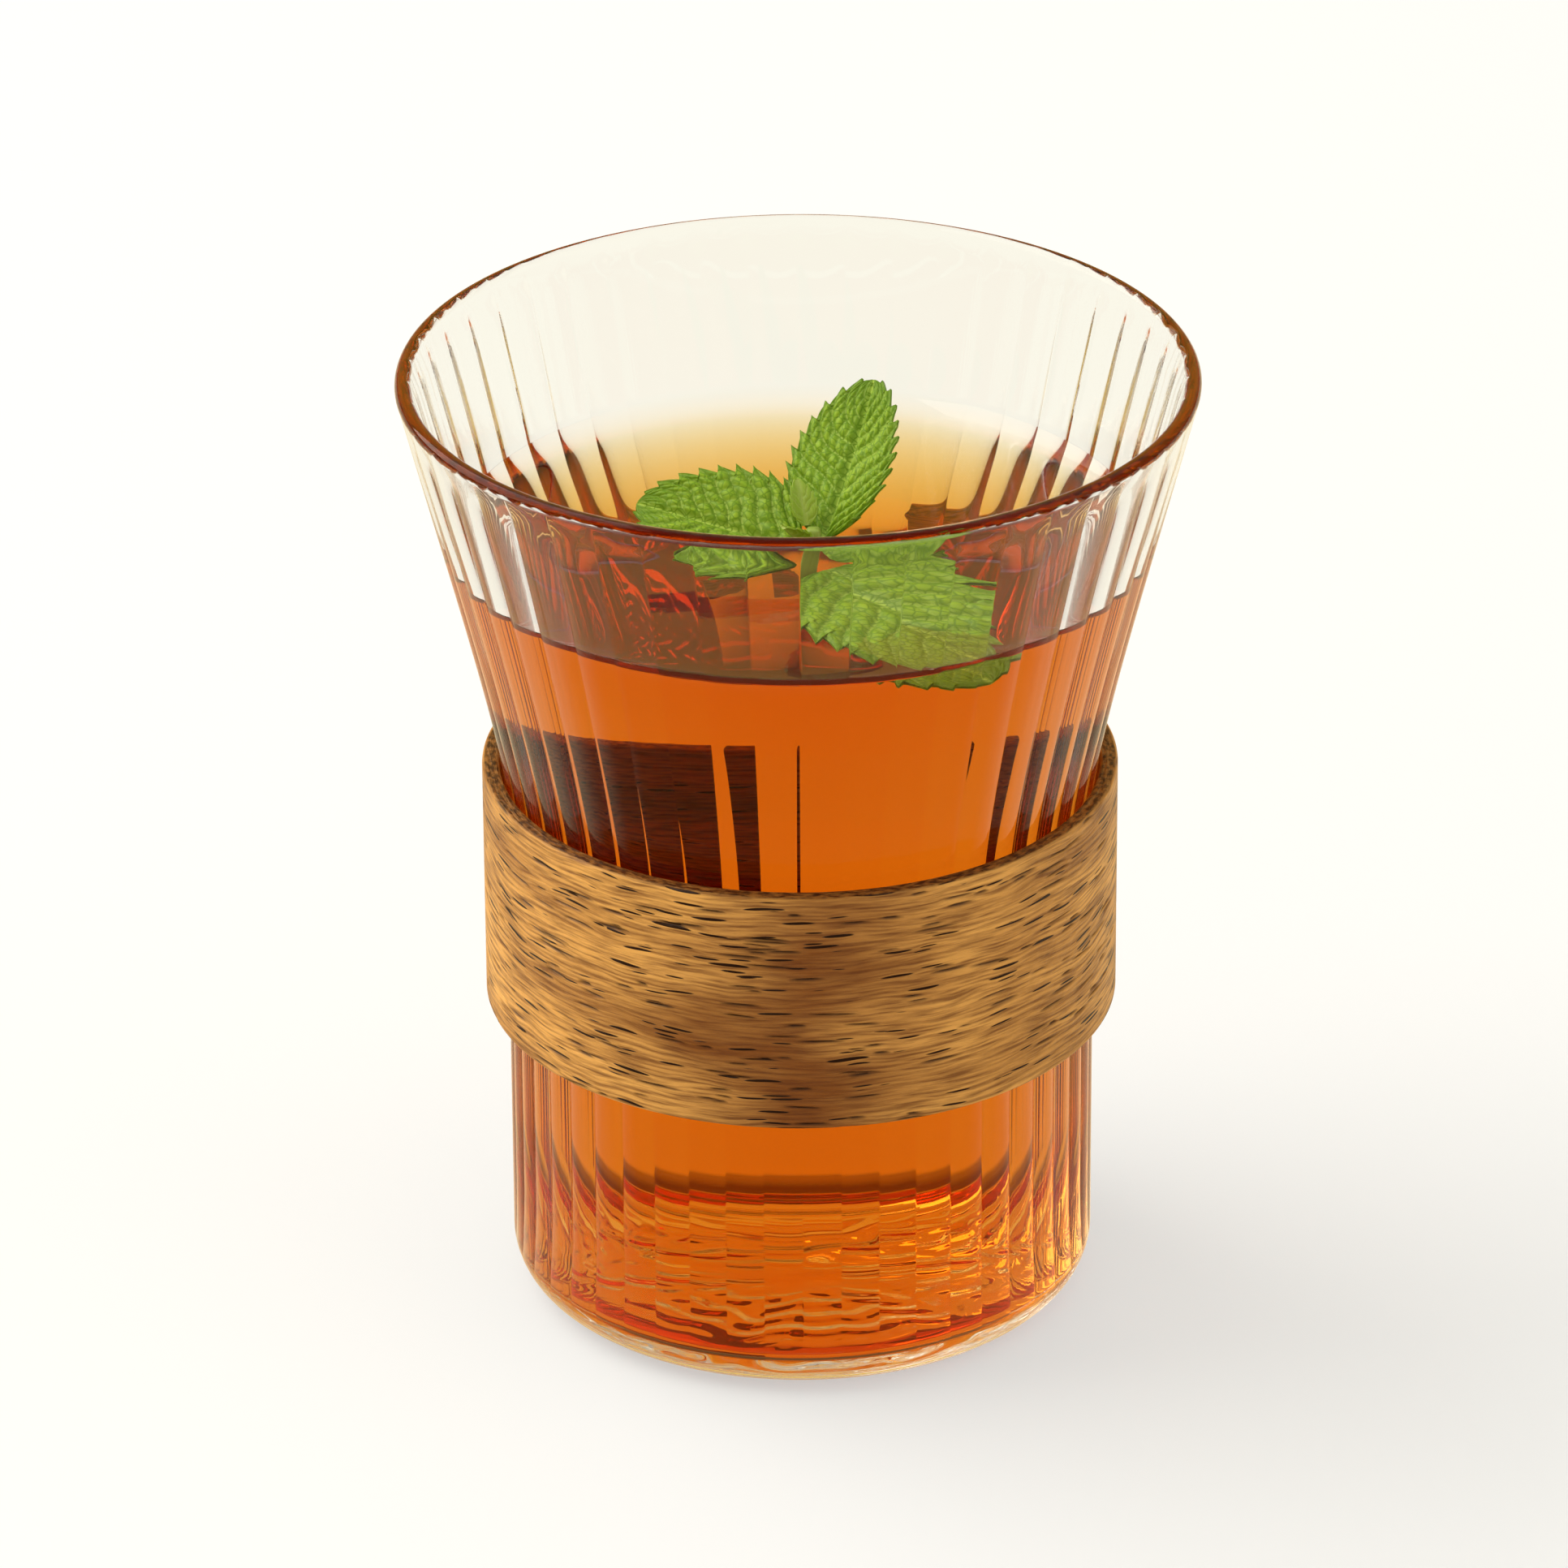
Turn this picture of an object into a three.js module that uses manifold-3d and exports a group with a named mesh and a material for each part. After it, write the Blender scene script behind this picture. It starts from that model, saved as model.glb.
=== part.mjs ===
// A ribbed tea glass in a bent-wood sleeve, filled with tea, with a sprig of mint floating on it.
// Millimetres, +Z up. The origin is on the table, under the middle of the base, and the front faces -Y.
import * as THREE from "three";
import { mergeVertices } from "three/addons/utils/BufferGeometryUtils.js";
import Module from "manifold-3d";

// Driving dimensions of the glass: a straight lower part that flares to a round lip.
const CUP_HEIGHT = 107.5;
const RIM_RADIUS = 43;
const BASE_RADIUS = 32;
const WALL = 2;
const FLOOR = 3.6;
const HEEL_RADIUS = 5;
const INNER_HEEL_RADIUS = 1.2;
const FOOT_RING_WIDTH = 4;
const FOOT_RECESS = 0.8;
const WAIST_HEIGHT = 57.2;
const WAIST_PULL = 7.4;
const FLARE_PULL = 20.7;
const LIP_LEAN = THREE.MathUtils.degToRad(14);

// The reeds are upright ribs on the outside, which run out below the lip and at the heel.
const REED_COUNT = 48;
const REED_DEPTH = 0.25;
const REED_BELOW_LIP = 5;
const REED_RUN_OUT = 4;

// The sleeve is a strip bent to an open ring, which seats under the flare and grips the straight part.
const SLEEVE_HEIGHT = 27.6;
const SLEEVE_THICKNESS = 1.9;
const SLEEVE_CLEARANCE = 0.6;
const SLEEVE_SEAT_GAP = 0.15;
const SLEEVE_OPENING = 14.5;
const SLEEVE_TURN = THREE.MathUtils.degToRad(-8.3);
const SLEEVE_EASED_EDGE = 0.35;

// The drink stands in the glass up to its level, clear of the wall by the fit gap.
const TEA_LEVEL = 88.6;
const FIT_GAP = 0.3;

// The sprig floats on the tea: a short square stem with leaves in pairs.
const STEM_WIDTH = 1.8;
const STEM_LENGTH = 4.5;
const LEAF_THICKNESS = 0.5;
const PETIOLE_WIDTH = 1.1;
const LEAF_TIP_WIDTH = 0.5;
const LEAF_TEETH = 9;
const TOOTH_SHARE = 0.12;
const LEAF_FULLNESS = 0.6;
const LEAF_TO_WALL = 1.9;
const RIGHT_TIP_BEARING = THREE.MathUtils.degToRad(-55.7);
const RIGHT_TIP_DEPTH = 3.2;

// Each leaf leaves the stem at a height, in a heading turned from +X, with its own rise, roll, fold and curl.
// The lower its base, the broader it is next to the stem.
// Angles are in degrees, and the curl is how far the tip drops below the straight line of the midrib.
const UPRIGHT_LEAF = {
  length: 18.2, width: 15, base: 0.8, node: 2.7, heading: 62, rise: 43, roll: -17, fold: 12, curl: -1.4,
};
const LEFT_LEAF = {
  length: 18.5, width: 15.2, base: 0.65, node: 1.9, heading: 158, rise: 9, roll: -27, fold: 13, curl: 0.8,
};
const RIGHT_LEAF = {
  length: 24, width: 20.5, base: 0.72, node: 1, heading: -46.5, rise: -9, roll: 9, fold: 6, curl: 0.8,
};
const FRONT_BUD = {
  length: 5.5, width: 3.6, base: 0.75, node: 3.6, heading: 240, rise: 50, roll: 0, fold: 18, curl: 0.8,
};
const BACK_BUD = {
  length: 5, width: 3.2, base: 0.75, node: 4, heading: 110, rise: 62, roll: 0, fold: 18, curl: 0.6,
};

// How finely round shapes are divided.
const ARC_STEPS = 4;
const FLARE_STEPS = 8;
const TEA_SIDES = 48;
const SLEEVE_ARC_DIVISIONS = 32;
const LEAF_COLUMNS = 4;

const wasm = await Module();
wasm.setup();

// Outline of the flare: it leaves the straight wall upright and meets the lip at the lip's lean.
const lipRadius = WALL / 2;
const lipCentre = new THREE.Vector2(RIM_RADIUS - lipRadius, CUP_HEIGHT - lipRadius);
const lipOutward = new THREE.Vector2(Math.cos(LIP_LEAN), -Math.sin(LIP_LEAN));
const lipUpward = new THREE.Vector2(Math.sin(LIP_LEAN), Math.cos(LIP_LEAN));
const flareEnd = lipCentre.clone().addScaledVector(lipOutward, lipRadius);
const flare = new THREE.CubicBezierCurve(
  new THREE.Vector2(BASE_RADIUS, WAIST_HEIGHT),
  new THREE.Vector2(BASE_RADIUS, WAIST_HEIGHT + WAIST_PULL),
  flareEnd.clone().addScaledVector(lipUpward, -FLARE_PULL),
  flareEnd,
);

// A point on the flare, moved inwards across the wall by an inset.
function flarePoint(share, inset) {
  const tangent = flare.getTangent(share);
  const inward = new THREE.Vector2(-tangent.y, tangent.x);
  return flare.getPoint(share).addScaledVector(inward, inset);
}

// The share of the way up the flare at which a measure that grows with it reaches a value.
function shareWhere(measure, value) {
  let low = 0;
  let high = 1;
  for (let halving = 0; halving < 40; halving++) {
    const middle = (low + high) / 2;
    if (measure(middle) < value) low = middle;
    else high = middle;
  }
  return low;
}

// Points of an arc, from one angle to another, both included.
function arcPoints(centre, radius, from, to) {
  const curve = new THREE.EllipseCurve(centre.x, centre.y, radius, radius, from, to, to < from);
  return curve.getPoints(ARC_STEPS);
}

// The side of the glass at an inset from its outside: heel, straight wall and flare up to a share of it.
function sideLine(inset, bottom, heel, topShare) {
  const heelCentre = new THREE.Vector2(BASE_RADIUS - inset - heel, bottom + heel);
  const line = arcPoints(heelCentre, heel, -Math.PI / 2, 0);
  for (let step = 0; step <= FLARE_STEPS; step++) {
    line.push(flarePoint((topShare * step) / FLARE_STEPS, inset));
  }
  return line;
}

// Turns a profile about +Z.
function turned(profile, sides) {
  return new THREE.LatheGeometry(profile, sides).rotateX(Math.PI / 2);
}

// How deep the reeds are at a height, from 0 where they have run out to 1.
function reedShare(height) {
  const end = CUP_HEIGHT - REED_BELOW_LIP;
  const atHeel = THREE.MathUtils.smoothstep(height, 0, HEEL_RADIUS);
  const atLip = 1 - THREE.MathUtils.smoothstep(height, end - REED_RUN_OUT, end);
  return atHeel * atLip;
}

// The glass: one closed wall, with a shallow recess under the base so that it stands on a ring.
function glassGeometry() {
  const ringOuter = BASE_RADIUS - HEEL_RADIUS;
  const ringInner = ringOuter - FOOT_RING_WIDTH;
  const foot = [
    new THREE.Vector2(0, FOOT_RECESS),
    new THREE.Vector2(ringInner - FOOT_RECESS, FOOT_RECESS),
    new THREE.Vector2(ringInner, 0),
  ];
  const outside = [...foot, ...sideLine(0, 0, HEEL_RADIUS, 1)];
  const lip = arcPoints(lipCentre, lipRadius, -LIP_LEAN, Math.PI - LIP_LEAN).slice(1, -1);
  const inside = sideLine(WALL, FLOOR, INNER_HEEL_RADIUS, 1).reverse();
  const profile = [...outside, ...lip, ...inside, new THREE.Vector2(0, FLOOR)];
  const geometry = turned(profile, 2 * REED_COUNT);
  const position = geometry.attributes.position;
  for (let i = 0; i < position.count; i++) {
    const isValley = Math.floor(i / profile.length) % 2 === 0;
    const isOutside = i % profile.length < outside.length;
    if (!isValley || !isOutside) continue;
    const radius = Math.hypot(position.getX(i), position.getY(i));
    const cut = radius > ringOuter ? REED_DEPTH * reedShare(position.getZ(i)) : 0;
    const scale = radius > 0 ? (radius - cut) / radius : 1;
    position.setX(i, position.getX(i) * scale);
    position.setY(i, position.getY(i) * scale);
  }
  return geometry;
}

// The sleeve: an open ring cut from the flat, as tall as the strip, with eased edges.
const sleeveInner = BASE_RADIUS + SLEEVE_CLEARANCE;
const sleeveOuter = sleeveInner + SLEEVE_THICKNESS;
const seatShare = shareWhere((share) => flare.getPoint(share).x, sleeveInner - SLEEVE_SEAT_GAP);
const sleeveTop = flare.getPoint(seatShare).y;

function sleeveGeometry() {
  const halfOpening = SLEEVE_OPENING / 2 / sleeveInner;
  const from = Math.PI / 2 + halfOpening;
  const to = from + 2 * Math.PI - 2 * halfOpening;
  const ring = new THREE.Shape();
  ring.absarc(0, 0, sleeveOuter, from, to, false);
  ring.absarc(0, 0, sleeveInner, to, from, true);
  ring.closePath();
  const geometry = new THREE.ExtrudeGeometry(ring, {
    depth: SLEEVE_HEIGHT - 2 * SLEEVE_EASED_EDGE,
    curveSegments: SLEEVE_ARC_DIVISIONS,
    bevelEnabled: true,
    bevelThickness: SLEEVE_EASED_EDGE,
    bevelSize: SLEEVE_EASED_EDGE,
    bevelOffset: -SLEEVE_EASED_EDGE,
    bevelSegments: 1,
  });
  return geometry.translate(0, 0, SLEEVE_EASED_EDGE);
}

// A closed sheet between a lower and an upper grid of points, given by row and column.
function sheetGeometry(rows, columns, lower, upper) {
  const points = [];
  for (const side of [lower, upper]) {
    for (let row = 0; row <= rows; row++) {
      for (let column = 0; column <= columns; column++) points.push(side(row, column));
    }
  }
  const across = columns + 1;
  const layer = (rows + 1) * across;
  const index = [];
  const quad = (a, b, c, d) => index.push(a, b, c, a, c, d);
  for (let row = 0; row < rows; row++) {
    for (let column = 0; column < columns; column++) {
      const a = row * across + column;
      quad(a, a + 1, a + across + 1, a + across);
      quad(layer + a, layer + a + across, layer + a + across + 1, layer + a + 1);
    }
    const left = row * across;
    const right = left + columns;
    quad(left, left + across, layer + left + across, layer + left);
    quad(right + across, right, layer + right, layer + right + across);
  }
  for (let column = 0; column < columns; column++) {
    const far = rows * across + column;
    quad(column + 1, column, layer + column, layer + column + 1);
    quad(far, far + 1, layer + far + 1, layer + far);
  }
  const geometry = new THREE.BufferGeometry().setFromPoints(points);
  geometry.setIndex(index);
  return geometry;
}

// A point in the middle of a leaf's thickness. The leaf lies along +X from its petiole, with its face to +Z.
// Its outline is widest below the middle, its halves fold up from the midrib, and its edge has teeth.
const LEAF_ROWS = 2 * LEAF_TEETH;
function leafPoint(leaf, row, column, margin) {
  const along = row / LEAF_ROWS;
  const side = (2 * column) / LEAF_COLUMNS - 1;
  const tooth = row % 2 === 0 ? 1 - TOOTH_SHARE : 1;
  const ovate = Math.sin(Math.PI * along ** leaf.base) ** LEAF_FULLNESS * tooth * leaf.width;
  const narrowest = THREE.MathUtils.lerp(PETIOLE_WIDTH, LEAF_TIP_WIDTH, along);
  const y = side * (Math.max(ovate, narrowest) / 2 + margin);
  const x = along * (leaf.length + 2 * margin) - margin;
  const z = Math.abs(y) * Math.tan(THREE.MathUtils.degToRad(leaf.fold)) - leaf.curl * along ** 2;
  return new THREE.Vector3(x, y, z);
}

function leafGeometry(leaf) {
  const half = new THREE.Vector3(0, 0, LEAF_THICKNESS / 2);
  const lower = (row, column) => leafPoint(leaf, row, column, 0).sub(half);
  const upper = (row, column) => leafPoint(leaf, row, column, 0).add(half);
  return sheetGeometry(LEAF_ROWS, LEAF_COLUMNS, lower, upper);
}

// A named mesh with its own finish.
function piece(name, geometry, finish) {
  const mesh = new THREE.Mesh(geometry, new THREE.MeshStandardMaterial(finish));
  mesh.name = name;
  return mesh;
}

// A leaf set against the stem: turned to its heading, raised, rolled about its midrib.
function leafPiece(name, leaf, color) {
  const mesh = piece(name, leafGeometry(leaf), { color, roughness: 0.55, metalness: 0 });
  const heading = THREE.MathUtils.degToRad(leaf.heading);
  const rise = THREE.MathUtils.degToRad(leaf.rise);
  const roll = THREE.MathUtils.degToRad(leaf.roll);
  const reach = STEM_WIDTH * Math.SQRT1_2 + FIT_GAP + LEAF_THICKNESS;
  mesh.position.set(reach * Math.cos(heading), reach * Math.sin(heading), leaf.node);
  mesh.rotation.set(roll, -rise, heading, "ZYX");
  return mesh;
}

// The sprig stands where its right leaf's tip comes near the wall, a little under the surface.
const teaShare = shareWhere((share) => flarePoint(share, WALL + FIT_GAP).y, TEA_LEVEL);
const teaRadius = flarePoint(teaShare, WALL + FIT_GAP).x;
const sprig = new THREE.Group();
const rightLeaf = leafPiece("mint_leaf_right", RIGHT_LEAF, 0x5f7d2c);
const stem = new THREE.BoxGeometry(STEM_WIDTH, STEM_WIDTH, STEM_LENGTH).translate(0, 0, STEM_LENGTH / 2);
sprig.add(
  piece("mint_stem", stem, { color: 0x93a83c, roughness: 0.6, metalness: 0 }),
  leafPiece("mint_leaf_upright", UPRIGHT_LEAF, 0x4f8f22),
  leafPiece("mint_leaf_left", LEFT_LEAF, 0x3f7324),
  rightLeaf,
  leafPiece("mint_bud_leaf_front", FRONT_BUD, 0x8fb53a),
  leafPiece("mint_bud_leaf_back", BACK_BUD, 0x86ad36),
);
sprig.updateMatrixWorld(true);
const rightTip = leafPoint(RIGHT_LEAF, LEAF_ROWS, LEAF_COLUMNS / 2, 0).applyMatrix4(rightLeaf.matrixWorld);
const tipRadius = teaRadius - LEAF_TO_WALL;
sprig.position.set(
  tipRadius * Math.cos(RIGHT_TIP_BEARING) - rightTip.x,
  tipRadius * Math.sin(RIGHT_TIP_BEARING) - rightTip.y,
  TEA_LEVEL - RIGHT_TIP_DEPTH - rightTip.z,
);
sprig.updateMatrixWorld(true);

// A closed mesh as a solid that can be cut.
function solid(geometry) {
  const bare = geometry.clone();
  bare.deleteAttribute("normal");
  bare.deleteAttribute("uv");
  const merged = mergeVertices(bare, 1e-4);
  const corners = merged.index.array;
  const triVerts = [];
  for (let i = 0; i < corners.length; i += 3) {
    const [a, b, c] = corners.slice(i, i + 3);
    if (a !== b && b !== c && c !== a) triVerts.push(a, b, c);
  }
  const vertProperties = new Float32Array(merged.attributes.position.array);
  return new wasm.Manifold(
    new wasm.Mesh({ numProp: 3, vertProperties, triVerts: new Uint32Array(triVerts) }),
  );
}

function geometryOf(made) {
  const mesh = made.getMesh();
  const geometry = new THREE.BufferGeometry();
  geometry.setAttribute("position", new THREE.BufferAttribute(mesh.vertProperties, 3));
  geometry.setIndex(new THREE.BufferAttribute(mesh.triVerts, 1));
  geometry.computeVertexNormals();
  return geometry;
}

// The room that the right leaf takes in the drink, open at the top so that the sprig lifts straight out.
function leafPocket() {
  const open = TEA_LEVEL + RIGHT_LEAF.width;
  const world = (row, column) => {
    const point = leafPoint(RIGHT_LEAF, row, column, FIT_GAP);
    return point.applyMatrix4(rightLeaf.matrixWorld);
  };
  const lower = (row, column) => {
    const point = world(row, column);
    return point.setZ(point.z - LEAF_THICKNESS / 2 - FIT_GAP);
  };
  const upper = (row, column) => world(row, column).setZ(open);
  return sheetGeometry(LEAF_ROWS, LEAF_COLUMNS, lower, upper);
}

function teaGeometry() {
  const bottom = FLOOR + FIT_GAP;
  const side = sideLine(WALL + FIT_GAP, bottom, INNER_HEEL_RADIUS - FIT_GAP, teaShare);
  const profile = [new THREE.Vector2(0, bottom), ...side, new THREE.Vector2(0, TEA_LEVEL)];
  return geometryOf(solid(turned(profile, TEA_SIDES)).subtract(solid(leafPocket())));
}

// The whole: the glass and its drink, the sleeve in its seat and the sprig.
const cup = new THREE.Group();
const sleeve = piece("wood_sleeve", sleeveGeometry(), { color: 0x9c6a35, roughness: 0.6, metalness: 0 });
sleeve.position.z = sleeveTop - SLEEVE_HEIGHT;
sleeve.rotation.z = SLEEVE_TURN;
const clearGlass = { color: 0xf3f1e6, roughness: 0.03, metalness: 0, transparent: true, opacity: 0.35 };
const amber = { color: 0xc9610e, roughness: 0.05, metalness: 0, transparent: true, opacity: 0.85 };
cup.add(
  piece("glass_cup", glassGeometry(), clearGlass),
  piece("tea", teaGeometry(), amber),
  sleeve,
  sprig,
);

export default cup;
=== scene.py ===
# A ribbed tea glass in a bent-wood sleeve, filled with tea, with a sprig of mint floating on it.
# The pieces are in metres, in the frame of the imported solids: +Z up, the front towards -Y.
import math

import bpy
import numpy as np
from mathutils import Euler, Matrix, Vector


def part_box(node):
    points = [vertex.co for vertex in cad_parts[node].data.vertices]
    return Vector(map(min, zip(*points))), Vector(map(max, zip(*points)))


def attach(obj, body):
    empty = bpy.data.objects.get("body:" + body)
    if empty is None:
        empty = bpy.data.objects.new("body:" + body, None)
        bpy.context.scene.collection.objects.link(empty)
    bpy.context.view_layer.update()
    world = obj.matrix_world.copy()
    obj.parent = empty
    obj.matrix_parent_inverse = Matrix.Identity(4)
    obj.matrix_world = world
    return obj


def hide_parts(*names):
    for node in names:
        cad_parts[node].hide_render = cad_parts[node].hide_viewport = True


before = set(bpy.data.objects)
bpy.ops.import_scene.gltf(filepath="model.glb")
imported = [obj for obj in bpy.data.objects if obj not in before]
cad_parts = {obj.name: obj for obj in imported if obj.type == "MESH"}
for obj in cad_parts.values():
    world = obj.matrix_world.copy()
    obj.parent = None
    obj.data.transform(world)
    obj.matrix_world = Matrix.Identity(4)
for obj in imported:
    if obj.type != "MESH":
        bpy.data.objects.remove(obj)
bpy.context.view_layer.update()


# The glass
# One piece of clear soda-lime glass, blown into a ribbed mould, cut off and fire-polished at the lip.
# The ribs are shallow and on its outside, deepest at the sides, and the inside is smooth.
MM = 0.001
glass_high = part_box("glass_cup")[1]
CUP_HEIGHT = glass_high.z
RIM_RADIUS = glass_high.x
BASE_RADIUS = 32 * MM
WALL = 2 * MM
LIP_WALL = 1.8 * MM
THINS_FROM = 0.62
FLOOR = 3.6 * MM
HEEL_RADIUS = 5 * MM
INNER_HEEL_RADIUS = 1.2 * MM
FOOT_RING_WIDTH = 4 * MM
FOOT_RECESS = 0.8 * MM
WAIST_HEIGHT = 57.2 * MM
WAIST_PULL = 7.4 * MM
FLARE_PULL = 20.7 * MM
LIP_LEAN = math.radians(14)
REED_COUNT = 48
REED_DEPTH = 0.12 * MM
REED_DEPTH_AT_SIDE = 0.4 * MM
SIDE_FROM = 0.4
SIDE_FULL = 0.9
REED_START = 4 * MM
REED_FULL = 9 * MM
REED_BELOW_LIP = 1 * MM
REED_RUN_OUT = 1.6 * MM
REED_GROOVE = 0.04 * MM
REED_GROOVE_WIDTH = 0.1
REED_COLUMNS = np.array([0, 0.02, 0.05, 0.1, 0.2, 0.35, 0.5, 0.65, 0.8, 0.9, 0.95, 0.98])
BASE_RING_PITCH = 4.2 * MM
BASE_RING_DEPTH = 0.13 * MM
tea_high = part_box("tea")[1]
TEA_OVER_SOLID = 0.6 * MM
TEA_EDGE = tea_high.z + TEA_OVER_SOLID


def flare_line(inset, shares):
    """Radius and height along the flare, a cubic curve that leaves the straight wall upright and meets
    the lip at its lean, moved inwards along its normal by an inset."""
    lip = LIP_WALL / 2
    lean = np.array([math.sin(LIP_LEAN), math.cos(LIP_LEAN)])
    end = np.array([RIM_RADIUS - lip + lip * lean[1], CUP_HEIGHT - lip - lip * lean[0]])
    start = np.array([BASE_RADIUS, WAIST_HEIGHT])
    handles = np.stack([start, start + [0, WAIST_PULL], end - FLARE_PULL * lean, end])
    t = np.asarray(shares)[:, None]
    line = (1 - t) ** 3 * handles[0] + 3 * (1 - t) ** 2 * t * handles[1]
    line = line + 3 * (1 - t) * t**2 * handles[2] + t**3 * handles[3]
    slope = (1 - t) ** 2 * (handles[1] - handles[0]) + 2 * (1 - t) * t * (handles[2] - handles[1])
    slope = slope + t**2 * (handles[3] - handles[2])
    slope = slope / np.linalg.norm(slope, axis=1, keepdims=True)
    return line + inset * np.stack([-slope[:, 1], slope[:, 0]], 1)


def arc_line(centre, radius, start, stop, steps):
    """Radius and height along a round arc, between two angles in degrees."""
    angles = np.radians(np.linspace(start, stop, steps))
    return np.stack([centre[0] + radius * np.cos(angles), centre[1] + radius * np.sin(angles)], 1)


def straight_line(start, stop, steps):
    """Evenly spaced points from one radius and height to another."""
    return np.linspace(start, stop, steps)


def smooth_step(value, low, high):
    """0 below low, 1 above high, and an even S between."""
    t = np.clip((value - low) / (high - low), 0, 1)
    return t * t * (3 - 2 * t)


def side_line(inset, bottom, heel, flare_shares, straight_steps, heel_steps):
    """The side of the glass at an inset from its outside: heel, straight wall, then flare. Towards the lip
    an inset of the whole wall thins to the lip's own wall."""
    centre = (BASE_RADIUS - inset - heel, bottom + heel)
    thinning = smooth_step(np.asarray(flare_shares), THINS_FROM, 1)[:, None]
    flare = flare_line(inset * (1 - thinning) + min(inset, LIP_WALL) * thinning, flare_shares)
    wall = straight_line((BASE_RADIUS - inset, bottom + heel), flare[0], straight_steps)
    return np.concatenate([arc_line(centre, heel, -90, 0, heel_steps), wall[1:-1], flare])


def mesh_piece(name, points, *face_sets):
    """A smooth mesh object from an array of points and arrays of faces, one row of corners for each face."""
    mesh = bpy.data.meshes.new(name)
    corners = np.concatenate([faces.ravel() for faces in face_sets])
    sizes = np.concatenate([np.full(len(faces), faces.shape[1]) for faces in face_sets])
    mesh.vertices.add(len(points))
    mesh.vertices.foreach_set("co", np.ascontiguousarray(points, np.float32).ravel())
    mesh.loops.add(len(corners))
    mesh.loops.foreach_set("vertex_index", corners.astype(np.int32))
    mesh.polygons.add(len(sizes))
    mesh.polygons.foreach_set("loop_start", (np.cumsum(sizes) - sizes).astype(np.int32))
    mesh.polygons.foreach_set("use_smooth", np.ones(len(sizes), bool))
    mesh.update(calc_edges=True)
    made = bpy.data.objects.new(name, mesh)
    bpy.context.scene.collection.objects.link(made)
    return made


def grid_faces(index):
    """Four-cornered faces between the neighbours of a grid of vertex numbers."""
    near, far = index[:-1], index[1:]
    return np.stack([near[:, :-1], near[:, 1:], far[:, 1:], far[:, :-1]], -1).reshape(-1, 4)


def turned_piece(name, radius, height, turn):
    """A closed round body: rings of the given radii and heights, and a point on the axis at each end.
    Both arrays have a row for each ring and a column for each angle of turn, anticlockwise from the front."""
    rings, steps = radius.shape
    ring_points = np.stack([radius * np.sin(turn), -radius * np.cos(turn), height], -1)
    ends = [[0, 0, height[0].mean()], [0, 0, height[-1].mean()]]
    points = np.concatenate([ring_points.reshape(-1, 3), ends])
    index = np.arange(rings * steps).reshape(rings, steps)
    index = np.column_stack([index, index[:, 0]])
    first = np.full(steps, rings * steps)
    bottom = np.stack([first, index[0, 1:], index[0, :-1]], 1)
    top = np.stack([first + 1, index[-1, :-1], index[-1, 1:]], 1)
    return mesh_piece(name, points, grid_faces(index), bottom, top)


ring_outer = BASE_RADIUS - HEEL_RADIUS
ring_inner = ring_outer - FOOT_RING_WIDTH
recess_radius = ring_inner * np.linspace(0.04, 1, 44)
recess = np.stack([recess_radius, FOOT_RECESS * (1 - (recess_radius / ring_inner) ** 8)], 1)
foot_ring = ring_inner + FOOT_RING_WIDTH * np.array([0.02, 0.5, 0.98])
foot_ring = np.stack([foot_ring, np.zeros(3)], 1)
outside = np.concatenate([recess, foot_ring, side_line(0, 0, HEEL_RADIUS, np.linspace(0, 1, 36), 8, 14)])
lip_centre = (RIM_RADIUS - LIP_WALL / 2, CUP_HEIGHT - LIP_WALL / 2)
lean_degrees = math.degrees(LIP_LEAN)
lip = arc_line(lip_centre, LIP_WALL / 2, -lean_degrees, 180 - lean_degrees, 16)[1:-1]
inside = side_line(WALL, FLOOR, INNER_HEEL_RADIUS, np.linspace(0, 1, 22), 6, 10)[::-1]
floor_radius = BASE_RADIUS - WALL - INNER_HEEL_RADIUS
inner_floor = straight_line((floor_radius, FLOOR), (2 * MM, FLOOR), 6)[1:]
profile = np.concatenate([outside, lip, inside, inner_floor])
is_outside = np.arange(len(profile)) < len(outside)

# Across a reed, 0 is its crest and 1 the valley beside it, where a narrow groove runs at the sides.
# A valley is at the front.
reed_place = (np.arange(REED_COUNT)[:, None] + REED_COLUMNS).ravel()
across_reed = np.abs(1 - 2 * (reed_place % 1))
groove = REED_GROOVE * np.exp(-(((1 - across_reed) / REED_GROOVE_WIDTH) ** 2))
heights = profile[:, 1:2]
reed_end = CUP_HEIGHT - REED_BELOW_LIP - REED_RUN_OUT * across_reed**2 / 2
from_heel = smooth_step(heights, REED_START, REED_FULL)
to_lip = 1 - smooth_step(heights, reed_end - REED_RUN_OUT, reed_end)
reed_share = from_heel * to_lip * is_outside[:, None] * (profile[:, :1] > ring_outer)
turn = 2 * np.pi * reed_place / REED_COUNT
at_side = smooth_step(np.abs(np.sin(turn)), SIDE_FROM, SIDE_FULL)
reed_depth = REED_DEPTH + (REED_DEPTH_AT_SIDE - REED_DEPTH) * at_side
glass_radius = profile[:, :1] - reed_share * (reed_depth * across_reed**2 + at_side * groove)

# Under the base, rings left by the mould wander in and out.
wander = 1.4 * np.sin(5 * turn + 0.7) + 1.2 * np.sin(11 * turn + 2.1) + 0.9 * np.sin(17 * turn + 4)
is_recess = (np.arange(len(profile)) < len(recess))[:, None]
ring_share = is_recess * smooth_step(profile[:, :1], 2 * MM, 7 * MM)
ring_share = ring_share * (1 - smooth_step(profile[:, :1], ring_inner - 6 * MM, ring_inner))
rings = np.cos(2 * np.pi * profile[:, :1] / BASE_RING_PITCH + wander)
glass_height = heights + BASE_RING_DEPTH * ring_share * (heights / FOOT_RECESS) * rings
glass = turned_piece("clear_glass_cup", glass_radius, glass_height, turn)


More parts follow.
